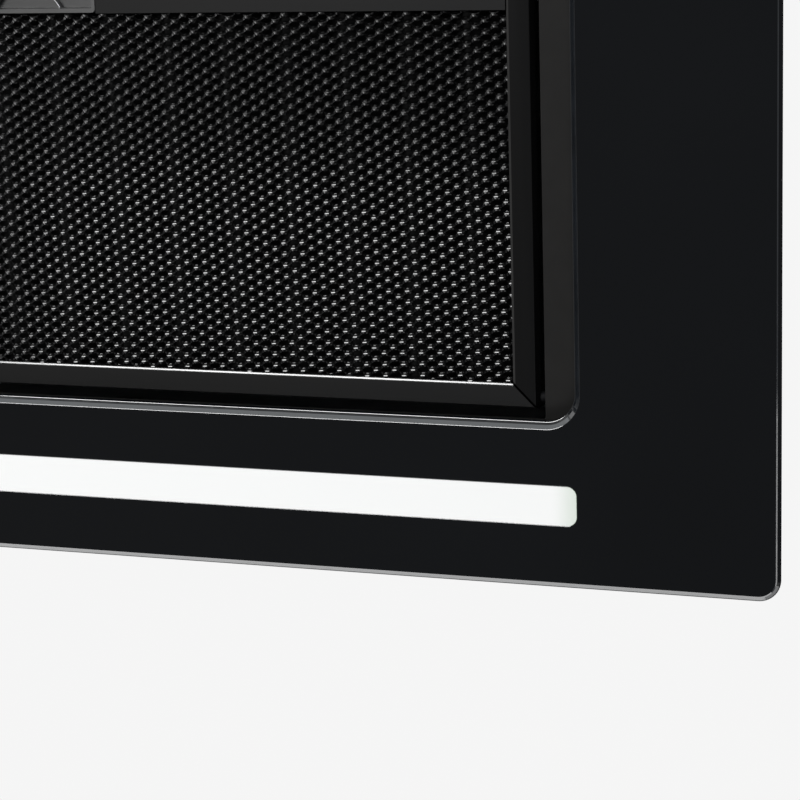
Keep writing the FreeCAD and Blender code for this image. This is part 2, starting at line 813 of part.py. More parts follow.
def control_lid():
    """Plain lid that closes the control box from below, with a rim inside it."""
    z1 = casing_inner_top - control_h
    lid = plate(control_w, control_d, z1 - box_wall, z1, control_x, control_y)
    rim_w = control_w - 2 * (box_wall + slide_clear)
    rim_d = control_d - 2 * (box_wall + slide_clear)
    rim = plate(rim_w, rim_d, z1, z1 + lid_rim_h, control_x, control_y)
    rim = rim.cut(plate(rim_w - 2 * box_wall, rim_d - 2 * box_wall, z1, z1 + lid_rim_h, control_x, control_y))
    return joined([lid, rim])


def control_board():
    """Circuit board on the stand-offs, with a relay and a transformer."""
    z1 = casing_inner_top - box_wall - board_stand
    z0 = z1 - board_t
    y0 = board_places()[0][1] - board_stand_w / 2
    w = control_w - 2 * (box_wall + slide_clear)
    cy = y0 + board_d / 2
    board = plate(w, board_d, z0, z1, control_x, cy)
    relay = plate(relay_w, relay_d, z0 - relay_h, z0, control_x - w / 4, cy)
    coil = plate(coil_w, coil_w, z0 - coil_h, z0, control_x + w / 4, cy)
    return joined([board, relay, coil])


def terminal_block():
    """Mains terminal block under the board, with a wire entry for each pole."""
    z1 = casing_inner_top - box_wall - board_stand - board_t
    z0 = z1 - terminal_h
    y1 = board_places()[0][1] - board_stand_w / 2 + board_d
    w = terminal_poles * terminal_pitch
    block = box(control_x - w / 2, control_x + w / 2, y1 - terminal_d, y1, z0, z1)
    cz = (z0 + z1) / 2
    for i in range(terminal_poles):
        x = control_x + (i - (terminal_poles - 1) / 2) * terminal_pitch
        entry = box(x - wire_entry_w / 2, x + wire_entry_w / 2, y1 - wire_entry_depth, y1,
                    cz - wire_entry_h / 2, cz + wire_entry_h / 2)
        block = block.cut(entry)
    return block


def capacitor():
    """Run capacitor block beside the control box, with a fixing ear at its end."""
    x1 = control_x - control_w / 2 - capacitor_gap
    x0 = x1 - capacitor_w
    y0 = control_y - capacitor_len / 2
    y1 = control_y + capacitor_len / 2
    z1 = casing_inner_top
    body = box(x0, x1, y0, y1, z1 - capacitor_h, z1)
    ear = box(x0 + box_wall, x1 - box_wall, y1, y1 + capacitor_ear, z1 - box_wall, z1)
    return joined([body, ear])


def led_driver():
    """Sealed supply for the light strip, bonded under the casing's top."""
    z1 = casing_inner_top
    return plate(driver_w, driver_d, z1 - driver_h, z1, driver_x, 0)


def cable_gland():
    """Hollow snap-in gland with a six-sided head on the casing's top."""
    gx, gy = gland_place()
    z0 = casing_inner_top - box_wall - gland_tail
    z1 = casing_h + gland_head_h
    points = []
    for i in range(7):
        a = math.radians(60 * i)
        points.append(V(gx + gland_head_r * math.cos(a), gy + gland_head_r * math.sin(a), casing_h))
    head = Part.Face(Part.makePolygon(points)).extrude(V(0, 0, gland_head_h))
    gland = joined([rod_z(gland_r, z0, casing_h, gx, gy), head])
    return gland.cut(rod_z(gland_bore_r, z0, z1, gx, gy))


save("glass_panel", glass_panel())
save("glass_bond", glass_bond())
save("bottom_tray", bottom_tray())
save("casing_flange", casing_flange())
save("casing_front", casing_end(-1))
save("casing_rear", casing_end(1))
save("casing_left", casing_side(-1))
save("casing_right", casing_side(1))
save("casing_top", casing_top())
save("light_diffuser", light_diffuser())
save("led_channel", led_channel())
save("led_board", led_board())
save("touch_board", touch_board())
for rail_name, rail_shape in filter_rails().items():
    save(rail_name, rail_shape)
save("filter_mesh_outer", mesh_sheet(outer_pitch, filter_z + rail_sheet))
save("filter_mesh_core", mesh_core())
save("filter_mesh_inner", mesh_sheet(inner_pitch, filter_top - rail_sheet - mesh_t))
save("latch_bar_left", latch_bar(-1))
save("latch_bar_right", latch_bar(1))
save("pivot_pins", *pivot_pins())
save("latch_housing", latch_housing())
save("latch_slider", latch_slider())
save("latch_spring", latch_spring())
save("scroll_wrap", scroll_wrap())
save("scroll_side_left", scroll_side(-1))
save("scroll_side_right", scroll_side(1))
save("impeller", impeller())
save("motor_shaft", motor_shaft())
save("impeller_nut", impeller_nut())
save("motor_housing", motor_housing())
save("motor_bracket", motor_bracket())
save("motor_buffers", *motor_buffers())
save("outlet_collar", outlet_collar())
save("flap_rod", flap_rod())
save("flap_front", flap(-1))
save("flap_rear", flap(1))
save("control_box", control_box())
save("control_lid", control_lid())
save("control_board", control_board())
save("terminal_block", terminal_block())
save("capacitor", capacitor())
save("led_driver", led_driver())
save("cable_gland", cable_gland())
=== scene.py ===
"""Looks of the built-in range hood, in metres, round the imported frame."""
import json
import math

import bmesh
import bpy
from mathutils import Matrix, Vector


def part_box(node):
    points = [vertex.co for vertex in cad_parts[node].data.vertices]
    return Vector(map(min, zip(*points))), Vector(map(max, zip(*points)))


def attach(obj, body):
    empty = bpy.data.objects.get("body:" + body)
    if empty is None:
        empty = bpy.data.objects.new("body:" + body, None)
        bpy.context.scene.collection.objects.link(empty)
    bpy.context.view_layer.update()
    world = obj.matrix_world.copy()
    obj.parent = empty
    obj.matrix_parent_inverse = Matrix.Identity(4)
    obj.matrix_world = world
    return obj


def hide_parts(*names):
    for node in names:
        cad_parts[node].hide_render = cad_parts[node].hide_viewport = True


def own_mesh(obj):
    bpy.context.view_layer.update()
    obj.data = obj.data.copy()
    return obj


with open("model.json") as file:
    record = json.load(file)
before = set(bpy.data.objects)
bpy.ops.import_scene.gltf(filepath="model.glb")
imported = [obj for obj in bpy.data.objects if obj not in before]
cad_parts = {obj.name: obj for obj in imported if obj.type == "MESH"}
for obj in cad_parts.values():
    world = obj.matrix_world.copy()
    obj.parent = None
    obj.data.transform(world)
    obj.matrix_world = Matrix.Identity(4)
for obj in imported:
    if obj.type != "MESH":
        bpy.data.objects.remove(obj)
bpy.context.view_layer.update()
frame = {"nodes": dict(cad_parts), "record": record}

MM = 0.001
nodes = frame["nodes"]
scene = bpy.context.scene
scene.view_settings.view_transform = "Standard"


# Material helpers

class Look:
    """One procedural material, built round a Principled shader."""

    def __init__(self, name, base, rough, metal=0.0, specular=0.5):
        self.mat = bpy.data.materials.new(name)
        self.mat.use_nodes = True
        self.tree = self.mat.node_tree
        self.shader = self.tree.nodes["Principled BSDF"]
        self.base = base
        self.rough = rough
        self.set("Base Color", (*base, 1.0))
        self.set("Roughness", rough)
        self.set("Metallic", metal)
        self.set("Specular IOR Level", specular)
        self.coords = self.tree.nodes.new("ShaderNodeTexCoord").outputs["Object"]

    def set(self, socket, value):
        self.shader.inputs[socket].default_value = value

    def link(self, out, socket):
        self.tree.links.new(out, socket)

    def node(self, kind, **inputs):
        made = self.tree.nodes.new(kind)
        for key, value in inputs.items():
            made.inputs[key.replace("_", " ")].default_value = value
        return made

    def place(self, scale):
        """Object coordinates stretched by a scale per axis."""
        mapping = self.node("ShaderNodeMapping")
        mapping.inputs["Scale"].default_value = scale
        self.link(self.coords, mapping.inputs["Vector"])
        return mapping.outputs["Vector"]

    def noise(self, scale, detail=3.0, rough=0.55):
        made = self.node("ShaderNodeTexNoise", Scale=1.0, Detail=detail, Roughness=rough)
        self.link(self.place(scale), made.inputs["Vector"])
        return made.outputs["Fac"]

    def spread(self, fac, low, high, from_low=0.3, from_high=0.7):
        """A factor stretched to a range of values."""
        made = self.tree.nodes.new("ShaderNodeMapRange")
        self.link(fac, made.inputs["Value"])
        for key, value in zip(("From Min", "From Max", "To Min", "To Max"), (from_low, from_high, low, high)):
            made.inputs[key].default_value = value
        return made.outputs["Result"]

    def blend(self, fac, dark, pale):
        """A colour between two, by a factor."""
        made = self.tree.nodes.new("ShaderNodeMix")
        made.data_type = "RGBA"
        self.link(fac, made.inputs["Factor"])
        made.inputs[6].default_value = (*dark, 1.0)
        made.inputs[7].default_value = (*pale, 1.0)
        return made.outputs[2]

    def mottle(self, scale, share):
        """Slow colour drift of a share round the base colour."""
        fac = self.spread(self.noise(scale), 0.0, 1.0)
        dark = [c * (1 - share) for c in self.base]
        pale = [min(1.0, c * (1 + share)) for c in self.base]
        self.link(self.blend(fac, dark, pale), self.shader.inputs["Base Color"])
        return self

    def uneven(self, scale, share):
        """Roughness that drifts round its middle value."""
        fac = self.noise(scale)
        self.link(self.spread(fac, self.rough - share, self.rough + share), self.shader.inputs["Roughness"])
        return self

    def grain(self, scale, strength, depth):
        """Fine relief from a noise."""
        bump = self.node("ShaderNodeBump", Strength=strength, Distance=depth)
        self.link(self.noise(scale), bump.inputs["Height"])
        self.link(bump.outputs["Normal"], self.shader.inputs["Normal"])
        return self


def same(value):
    return (value, value, value)


# Materials: one per slot of the record, and a few finer ones for parts of a piece

looks = {}

glass = Look("black_glass", (0.0021, 0.0024, 0.0029), 0.05, specular=0.105)
glass.mottle(same(6.0), 0.15).uneven(same(14.0), 0.02)
looks["black_glass"] = glass.mat

glass_edge = Look("black_glass_edge", (0.005, 0.006, 0.0075), 0.08, specular=0.55)
glass_edge.mottle(same(90.0), 0.3).uneven(same(160.0), 0.04).grain(same(900.0), 0.06, 0.00003)

glue = Look("adhesive", (0.02, 0.02, 0.02), 0.8)
looks["adhesive"] = glue.mottle(same(60.0), 0.3).grain(same(700.0), 0.3, 0.0002).mat

tray = Look("dark_coated_sheet", (0.005, 0.0048, 0.0046), 0.5, specular=0.09)
looks["dark_coated_sheet"] = tray.mottle(same(120.0), 0.12).grain(same(2200.0), 0.25, 0.00008).mat

zinc = Look("galvanised_sheet", (0.46, 0.47, 0.48), 0.6, metal=0.75)
cells = zinc.node("ShaderNodeTexVoronoi", Scale=1.0, Randomness=1.0)
zinc.link(zinc.place(same(150.0)), cells.inputs["Vector"])
grey = zinc.node("ShaderNodeRGBToBW")
zinc.link(cells.outputs["Color"], grey.inputs["Color"])
spangle = zinc.blend(grey.outputs["Val"], (0.43, 0.44, 0.45), (0.5, 0.51, 0.52))
zinc.link(spangle, zinc.shader.inputs["Base Color"])
zinc.link(zinc.spread(grey.outputs["Val"], 0.56, 0.66, 0.0, 1.0), zinc.shader.inputs["Roughness"])
looks["galvanised_sheet"] = zinc.grain(same(700.0), 0.05, 0.0002).mat

steel = Look("screw_steel", (0.58, 0.58, 0.57), 0.32, metal=1.0)
steel.mottle(same(300.0), 0.15).uneven(same(500.0), 0.1).grain(same(2500.0), 0.1, 0.00005)
looks["screw_steel"] = steel.mat

opal = Look("opal_diffuser", (0.4, 0.404, 0.4), 0.35)
looks["opal_diffuser"] = opal.mat

anodised = Look("anodised_channel", (0.68, 0.68, 0.69), 0.38, metal=1.0)
anodised.mottle((4.0, 400.0, 400.0), 0.1).grain((8.0, 3000.0, 3000.0), 0.12, 0.00005)
looks["anodised_channel"] = anodised.mat

board = Look("circuit_board", (0.02, 0.14, 0.06), 0.38)
tracks = board.node("ShaderNodeTexBrick", Scale=1.0)
tracks.inputs["Color1"].default_value = (0.016, 0.12, 0.05, 1.0)
tracks.inputs["Color2"].default_value = (0.02, 0.14, 0.06, 1.0)
tracks.inputs["Mortar"].default_value = (0.05, 0.23, 0.1, 1.0)
tracks.inputs["Mortar Size"].default_value = 0.06
board.link(board.place(same(160.0)), tracks.inputs["Vector"])
board.link(tracks.outputs["Color"], board.shader.inputs["Base Color"])
looks["circuit_board"] = board.grain(same(900.0), 0.08, 0.0001).mat


def moulded(name, base, rough, grain=0.2):
    """Material of a moulded plastic with a fine spark-eroded grain."""
    look = Look(name, base, rough)
    return look.mottle(same(50.0), 0.1).uneven(same(120.0), 0.05).grain(same(1600.0), grain, 0.0001).mat


looks["blower_plastic"] = moulded("blower_plastic", (0.05, 0.05, 0.052), 0.5)
looks["collar_plastic"] = moulded("collar_plastic", (0.035, 0.035, 0.037), 0.5)
looks["box_plastic"] = moulded("box_plastic", (0.6, 0.6, 0.58), 0.48)
looks["terminal_plastic"] = moulded("terminal_plastic", (0.75, 0.74, 0.7), 0.35, 0.08)
looks["capacitor_can"] = moulded("capacitor_can", (0.78, 0.78, 0.76), 0.35, 0.05)
looks["gland_plastic"] = moulded("gland_plastic", (0.03, 0.03, 0.03), 0.5)
looks["fan_plastic"] = moulded("fan_plastic", (0.62, 0.62, 0.6), 0.35, 0.08)
looks["flap_plastic"] = moulded("flap_plastic", (0.05, 0.05, 0.052), 0.5)
looks["latch_plastic"] = moulded("latch_plastic", (0.02, 0.02, 0.02), 0.42)

rubber = Look("buffer_rubber", (0.02, 0.02, 0.02), 0.75)
looks["buffer_rubber"] = rubber.mottle(same(150.0), 0.3).grain(same(1200.0), 0.3, 0.0002).mat

cast = Look("motor_metal", (0.45, 0.45, 0.46), 0.45, metal=1.0)
cast.mottle(same(120.0), 0.12).uneven(same(300.0), 0.1).grain(same(900.0), 0.35, 0.0003)
looks["motor_metal"] = cast.mat

bracket = Look("bracket_steel", (0.55, 0.55, 0.54), 0.36, metal=1.0)
bracket.mottle(same(60.0), 0.15).uneven(same(90.0), 0.08).grain(same(700.0), 0.1, 0.0001)
looks["bracket_steel"] = bracket.mat

spring = Look("spring_steel", (0.45, 0.45, 0.47), 0.28, metal=1.0)
spring.mottle((30.0, 900.0, 900.0), 0.15).grain((60.0, 3000.0, 3000.0), 0.1, 0.00005)
looks["spring_steel"] = spring.mat


def coated_rail(name, scale, tone, specular):
    """Material of a satin black coat over a sheet whose grain runs along the rail."""
    look = Look(name, (tone, tone, tone * 1.03), 0.28, specular=specular)
    look.mottle(scale, 0.12)
    return look.grain([s * 6 for s in scale], 0.05, 0.00004).mat


looks["black_coated_aluminium"] = coated_rail("black_coated_aluminium", (14.0, 380.0, 380.0), 0.0018, 0.22)
hem_look = Look("black_coated_hem", (0.002, 0.002, 0.0021), 0.16, specular=0.55)
hem_look.mottle(same(200.0), 0.2).uneven(same(30.0), 0.03)
# Side rails: a copy of the rail coat with its grain along Y, and with a lower specular level that makes them
# render darker than the front and rear rails; painted shade.
shaded_side_rail_look = coated_rail("black_coated_aluminium_shaded_side", (380.0, 14.0, 380.0), 0.002, 0.085)

mesh_look = Look("gloss_black_mesh", (0.0015, 0.0015, 0.0016), 0.12, specular=0.41)
looks["gloss_black_mesh"] = mesh_look.mottle(same(260.0), 0.3).uneven(same(420.0), 0.05).mat

core = Look("core_mesh", (0.002, 0.002, 0.002), 0.6, specular=0.04)
looks["core_mesh"] = core.mottle(same(300.0), 0.3).grain(same(900.0), 0.5, 0.0004).mat

slot_of = {row["node"]: row["material_slot"] for row in frame["record"]["subparts"]}
for name, node in nodes.items():
    node.data.materials.clear()
    node.data.materials.append(looks[slot_of[name]])

blackened = Look("blackened_steel", (0.004, 0.004, 0.0045), 0.6, specular=0.08)
blackened.mottle(same(400.0), 0.3).grain(same(1800.0), 0.2, 0.00005)
nodes["pivot_pins"].data.materials[0] = blackened.mat


# Lit diffuser: even light with a soft, slightly green fall-off at its ends

STRIP_FADE = 11.0 * MM
STRIP_EMISSION = 0.247
STRIP_MIDDLE = (1.0, 1.0, 1.0)
STRIP_END = (0.15, 0.36, 0.13)


def light_up(look, half_len):
    """Emission along X that falls off at both ends."""
    split = look.node("ShaderNodeSeparateXYZ")
    look.link(look.coords, split.inputs["Vector"])
    side = look.tree.nodes.new("ShaderNodeMath")
    side.operation = "ABSOLUTE"
    look.link(split.outputs["X"], side.inputs[0])
    end = look.tree.nodes.new("ShaderNodeMapRange")
    end.interpolation_type = "SMOOTHSTEP"
    look.link(side.outputs[0], end.inputs["Value"])
    end.inputs["From Min"].default_value = half_len - STRIP_FADE
    end.inputs["From Max"].default_value = half_len
    tint = look.blend(end.outputs["Result"], STRIP_MIDDLE, STRIP_END)
    look.link(tint, look.shader.inputs["Emission Color"])
    look.set("Emission Strength", STRIP_EMISSION)


strip_low, strip_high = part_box("light_diffuser")
light_up(opal, strip_high.x)
opal.grain(same(500.0), 0.03, 0.0001)


# Mesh helpers

def add_piece(name, mesh, body, slot, *stands_for):
    """A mesh object that rides on a body and may stand for CAD nodes."""
    made = bpy.data.objects.new(name, mesh)
    scene.collection.objects.link(made)
    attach(made, body)
    if stands_for:
        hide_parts(*stands_for)
    return made


def mesh_from(name, verts, faces, materials, smooth=True):
    """A mesh of given points and faces with its materials."""
    mesh = bpy.data.meshes.new(name)
    mesh.from_pydata(verts, [], faces)
    for material in materials:
        mesh.materials.append(material)
    mesh.polygons.foreach_set("use_smooth", [smooth] * len(mesh.polygons))
    mesh.update()
    return mesh


def round_rect(w, d, r, z, cx=0.0, cy=0.0, steps=10):
    """Points of a rectangle with round corners, anticlockwise seen from above."""
    points = []
    for sx, sy, start in ((1, 1, 0), (-1, 1, 90), (-1, -1, 180), (1, -1, 270)):
        for i in range(steps + 1):
            a = math.radians(start + 90 * i / steps)
            x = cx + sx * (w / 2 - r) + r * math.cos(a)
            y = cy + sy * (d / 2 - r) + r * math.sin(a)
            points.append((x, y, z))
    return points


def filleted(points, reach, steps=4):
    """A polyline whose inner corners are rounded over a reach along each leg."""
    out = [points[0]]
    for before, here, after in zip(points, points[1:], points[2:]):
        a = Vector(here) - (Vector(here) - Vector(before)).normalized() * reach
        b = Vector(here) + (Vector(after) - Vector(here)).normalized() * reach
        for i in range(steps + 1):
            t = i / steps
            out.append(tuple(a * (1 - t) ** 2 + Vector(here) * 2 * t * (1 - t) + b * t ** 2))
    out.append(points[-1])
    return out


# Glass panel with polished bevels

glass_low, glass_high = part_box("glass_panel")
GLASS_CORNER = 8.0 * MM
RIM_FACET = 0.42 * MM
RIM_BAND = 1.3 * MM
RIM_FALL = 0.22 * MM
RIM_EDGE = 0.4 * MM
RIM_EDGE_FALL = 0.34 * MM
RIM_LEAN = 1.0 * MM
CUT_W = 420.0 * MM
CUT_D = 187.0 * MM
CUT_CORNER = 12.5 * MM
CUT_BEVEL = 2.3 * MM
SLOT_W = 417.0 * MM
SLOT_D = 14.2 * MM
SLOT_CORNER = 3.5 * MM
SLOT_BEVEL = 0.12 * MM
CUT_DEPTH = 1.6 * MM
CUT_STEEPER = 0.44
RIM_STEPS = 16
SIDE_SHARE = math.tan(math.radians(74))
CUT_FACET = 0.1 * MM
FACET_SHARE = 0.3
CUT_INNER = 0.36
CUT_LIP = 1.3
CUT_INNER_TILT = math.tan(math.radians(40))
FACET_TILT = math.tan(math.radians(18))
strip_y = (strip_low.y + strip_high.y) / 2


def outer_section():
    """Rim of the panel as (distance in from the widest outline, height over the face) points."""
    facet_in = RIM_BAND + RIM_FACET
    rise = RIM_FACET * FACET_TILT
    edge = rise + RIM_FALL + RIM_EDGE_FALL
    return [
        (facet_in, 0.0), (RIM_BAND, rise), (RIM_EDGE, rise + RIM_FALL),
        (0.0, edge), (0.0, edge + RIM_FALL), (RIM_LEAN, glass_high.z - glass_low.z),
    ]


def cut_section(bevel, fall):
    """Rim of a cut-out: a narrow facet on each side of a bevel, then the wall."""
    facet = min(CUT_FACET, bevel * FACET_SHARE)
    lip_facet = facet * CUT_LIP
    rise = facet * FACET_TILT
    depth = glass_high.z - glass_low.z
    inner = lip_facet + CUT_INNER * (bevel - lip_facet)
    low = rise + (fall - 2 * rise) * (1 - CUT_INNER)
    high = low + (inner - lip_facet) * CUT_INNER_TILT
    return [
        (bevel + facet, 0.0), (bevel, rise), (inner, low),
        (lip_facet, high), (0.0, high + lip_facet * FACET_TILT), (0.0, depth),
    ]


def rim_loops(w, d, r, section, outward, cy, steeper):
    """Loops along a rim from the face to the back; a rim may fall steeper along its two short sides."""
    loops = []
    for o, h in section:
        inset = 2 * outward * o
        outline = round_rect(w - inset, d - inset, r - outward * o, glass_low.z, 0.0, cy, RIM_STEPS)
        loop = []
        for k, (x, y, z) in enumerate(outline):
            corner, step = divmod(k, RIM_STEPS + 1)
            side = math.cos(math.pi / 2 * (corner + step / RIM_STEPS)) ** 4
            loop.append((x, y, min(z + h * (1 + steeper * side), glass_high.z)))
        loops.append(loop)
    return loops


def build_glass():
    """The glass with its outer rim, the filter's cut-out and the slot of the light strip."""
    bm = bmesh.new()
    cut_rim = cut_section(CUT_BEVEL, CUT_DEPTH)
    slot_rim = cut_section(SLOT_BEVEL, SLOT_BEVEL)
    glass_w, glass_d = glass_high.x - glass_low.x, glass_high.y - glass_low.y
    hole_w, hole_d = CUT_W - 2 * CUT_BEVEL, CUT_D - 2 * CUT_BEVEL
    rims = [
        (glass_w, glass_d, GLASS_CORNER, outer_section(), 1, 0.0, 0.0),
        (hole_w, hole_d, CUT_CORNER - CUT_BEVEL, cut_rim, -1, 0.0, CUT_STEEPER),
        (SLOT_W, SLOT_D, SLOT_CORNER, slot_rim, -1, strip_y, 0.0),
    ]
    face_edges = []
    back_edges = []
    for w, d, r, section, outward, cy, steeper in rims:
        outlines = rim_loops(w, d, r, section, outward, cy, steeper)
        loops = [[bm.verts.new(p) for p in outline] for outline in outlines]
        count = len(loops[0])
        for a, b in zip(loops, loops[1:]):
            for i in range(count):
                j = (i + 1) % count
                quad = (a[i], a[j], b[j], b[i]) if outward > 0 else (a[j], a[i], b[i], b[j])
                made = bm.faces.new(quad)
                made.normal_update()
                # On the outer rim, every band past the first facet along the left and right sides takes the
                # darker, less glossy face glass, so these sides render dark: painted shade.
                shaded_side_band = abs(made.normal.x) > SIDE_SHARE * abs(made.normal.y)
                made.material_index = 0 if outward > 0 and a is not loops[0] and shaded_side_band else 1
        for loop in loops:
            for i in range(count):
                edge = bm.edges.get((loop[i], loop[(i + 1) % count]))
                edge.smooth = False
                if loop is loops[0]:
                    face_edges.append(edge)
                if loop is loops[-1]:
                    back_edges.append(edge)
    for bag, up in ((face_edges, -1.0), (back_edges, 1.0)):
        made = bmesh.ops.triangle_fill(bm, use_beauty=True, use_dissolve=False, edges=bag, normal=(0, 0, up))
        for item in made["geom"]:
            if isinstance(item, bmesh.types.BMFace):
                item.material_index = 0
                if item.normal.z * up < 0:
                    item.normal_flip()
    for made in bm.faces:
        made.smooth = True
    mesh = bpy.data.meshes.new("glass_face")
    bm.to_mesh(mesh)
    bm.free()
    mesh.materials.append(looks["black_glass"])
    mesh.materials.append(glass_edge.mat)
    return mesh


add_piece("glass_face", build_glass(), "hood", "black_glass", "glass_panel")


# Filter rails: rolled channels with a round inner hem and mitred ends

RAIL_SHEET = 0.8 * MM
RAIL_SLOPE = 1.0 * MM
RAIL_SLOPE_H = 2.6 * MM
BACK_ROUND = 0.7 * MM
HEM = 0.8 * MM
HEM_TILT = math.tan(math.radians(17))
MITRE_GAP = 0.55 * MM
RAIL_BEND = 0.3 * MM
HEM_CREASE = 0.02 * HEM
HARD_EDGE = math.radians(20)
rail_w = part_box("rail_rear")[1].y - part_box("rail_rear")[0].y


def rail_profile(low, high):
    """Section of a rail as (distance in from the outer wall, height) points."""
    h = high - low
    w = rail_w
    t = RAIL_SHEET
    points = filleted([(0.0, h / 2), (0.0, RAIL_SLOPE_H), (RAIL_SLOPE, 0.0), (w / 2, 0.0)], RAIL_BEND)
    lip = HEM * HEM_TILT
    nose = w - 0.4 * HEM
    hem = filleted([
        (nose - 3 * HEM, 0.0), (nose - HEM, 0.0), (nose, lip),
        (w, 3 * lip), (w, 5 * lip), (nose - 3 * HEM, 5 * lip),
    ], HEM_CREASE, 1)
    points += hem[1:-1]
    points += [(w - 3.4 * HEM, t), (RAIL_SLOPE + t, t), (t, RAIL_SLOPE_H + t), (t, h - t), (w, h - t), (w, h)]
    for i in range(4):
        a = math.radians(90 + 90 * i / 3)
        points.append((BACK_ROUND + BACK_ROUND * math.cos(a), h - BACK_ROUND + BACK_ROUND * math.sin(a)))
    return [(u, low + z) for u, z in points]


def build_rail(name, length, half_span, turn, material):
    """A mitred rail whose outer wall faces the direction given by a turn about Z."""
    low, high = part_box("rail_rear")[0].z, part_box("rail_rear")[1].z
    profile = rail_profile(low, high)
    rotate = Matrix.Rotation(math.radians(turn), 4, "Z")
    verts = []
    for side in (-1, 1):
        for u, z in profile:
            verts.append(tuple(rotate @ Vector((side * (length / 2 - u - MITRE_GAP), half_span - u, z))))
    n = len(profile)
    faces = [(i, (i + 1) % n, n + (i + 1) % n, n + i) for i in range(n)]
    faces += [tuple(range(n))[::-1], tuple(range(n, 2 * n))]
    bm = bmesh.new()
    made = [bm.verts.new(v) for v in verts]
    for k, face in enumerate(faces):
        rail_face = bm.faces.new([made[i] for i in face])
        if k < n:
            (u0, z0), (u1, z1) = profile[k], profile[(k + 1) % n]
            on_hem = u0 + u1 > 2 * (rail_w - 1.4 * HEM) and z0 + z1 - 2 * low < 6 * HEM * HEM_TILT
            rail_face.material_index = 1 if on_hem else 0
    bmesh.ops.recalc_face_normals(bm, faces=bm.faces)
    for face in bm.faces:
        face.smooth = len(face.verts) == 4
    for edge in bm.edges:
        if len(edge.link_faces) == 2 and edge.calc_face_angle() > HARD_EDGE:
            edge.smooth = False
    mesh = bpy.data.meshes.new(name)
    bm.to_mesh(mesh)
    bm.free()
    mesh.materials.append(material)
    mesh.materials.append(hem_look.mat)
    return mesh


frame_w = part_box("rail_rear")[1].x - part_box("rail_rear")[0].x
frame_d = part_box("rail_rear")[1].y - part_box("rail_front")[0].y
rail_x = looks["black_coated_aluminium"]
for name, length, half_span, turn, material in (
    ("rail_rear", frame_w, frame_d / 2, 0, rail_x),
    ("rail_front", frame_w, frame_d / 2, 180, rail_x),
    ("rail_left", frame_d, frame_w / 2, 90, shaded_side_rail_look),
    ("rail_right", frame_d, frame_w / 2, -90, shaded_side_rail_look),
):
    made = build_rail("formed_" + name, length, half_span, turn, material)
    add_piece("formed_" + name, made, "filter", "black_coated_aluminium", name)


# Expanded mesh of the filter

MESH_LONG = 7.0 * MM
MESH_ROW = 2.02 * MM
MESH_TURN = math.radians(-2.75)
HOLE_HALF_LONG = 1.85 * MM
HOLE_HALF_SHORT = 0.72 * MM
KNUCKLE_RISE = 0.5 * MM
STRAND_DROP = 1.26 * MM
HOLE_WALL = 0.4 * MM
KNUCKLE_FLAT = 0.22
UPPER_FLANK = ((0.0, 0.0), (0.17, 0.055), (0.7, 0.6), (0.74, 0.613), (1.0, 1.0))
LOWER_FLANK = ((0.0, 0.0), (0.74, 0.43), (1.0, 1.0))
STEEP_FLANK = ((0.0, 0.0), (0.17, 0.3), (1.0, 1.1))
RING_SHARES = (0.0, 0.17, 0.7, 0.74, 1.0)
FLANK_TURN = 0.4
KNUCKLE_START = 0.99
MERGE_STEPS = 2e5
THIN_AREA = 1e-12
HOLE_TURN = ((0.0, 0.0), (KNUCKLE_FLAT, KNUCKLE_FLAT), (1 - KNUCKLE_FLAT, 0.9), (1.0, 1.0))


def along(table, share):
    """Value of a broken line at a share of its length."""
    for (s0, v0), (s1, v1) in zip(table, table[1:]):
        if share <= s1:
            return v0 + (v1 - v0) * (share - s0) / (s1 - s0)
    return table[-1][1]


def flank_drop(share, upper, steep):
    """Fall of a strand from its crest to the opening, between its upper, lower and steep flanks."""
    low = along(LOWER_FLANK, share)
    drop = low + (along(UPPER_FLANK, share) - low) * upper
    return STRAND_DROP * (drop + (along(STEEP_FLANK, share) - drop) * steep)


def cell_points():
    """Crest and opening of one cell, as matching points with their depth and shares of the flanks.

    Away from the knuckles only the lower left flank of a strand is shallow.
    """
    half = MESH_LONG / 2
    bend = 1 - 2 * KNUCKLE_FLAT
    steps = [0.0, KNUCKLE_FLAT, KNUCKLE_FLAT + bend / 3, KNUCKLE_FLAT + 2 * bend / 3, 1 - KNUCKLE_FLAT]
    points = []
    for sx, sy, forward in ((-1, -1, True), (1, -1, False), (1, 1, True), (-1, 1, False)):
        for step in steps:
            t = step if forward else 1 - step
            bent = min(max((t - KNUCKLE_FLAT) / bend, 0.0), 1.0)
            eased = bent * bent * (3 - 2 * bent)
            crest = Vector((sx * half * (1 - t), sy * MESH_ROW * eased))
            a = along(HOLE_TURN, t) * math.pi / 2
            hole = Vector((sx * HOLE_HALF_LONG * math.cos(a), sy * HOLE_HALF_SHORT * math.sin(a)))
            sunk = KNUCKLE_RISE * (0.5 - 0.5 * math.cos(2 * math.pi * bent))
            upper = 0.5 + 0.5 * sy * min(1.0, t / FLANK_TURN)
            if sy > 0:
                steep = 0.0 if bent > KNUCKLE_START else 1.0
            else:
                steep = 0.5 + 0.5 * sx * min(1.0, (1 - t) / KNUCKLE_FLAT)
            points.append((crest, hole, sunk, upper, steep))
    return points


def cell_rings():
    """Rings of one cell from its crest to the back of its opening, as (place, depth) points."""
    points = cell_points()
    rings = []
    for share in RING_SHARES:
        rings.append([
            (crest.lerp(hole, share), sunk + flank_drop(share, upper, steep))
            for crest, hole, sunk, upper, steep in points
        ])
    rings.append([(place, depth + HOLE_WALL) for place, depth in rings[-1]])
    return rings


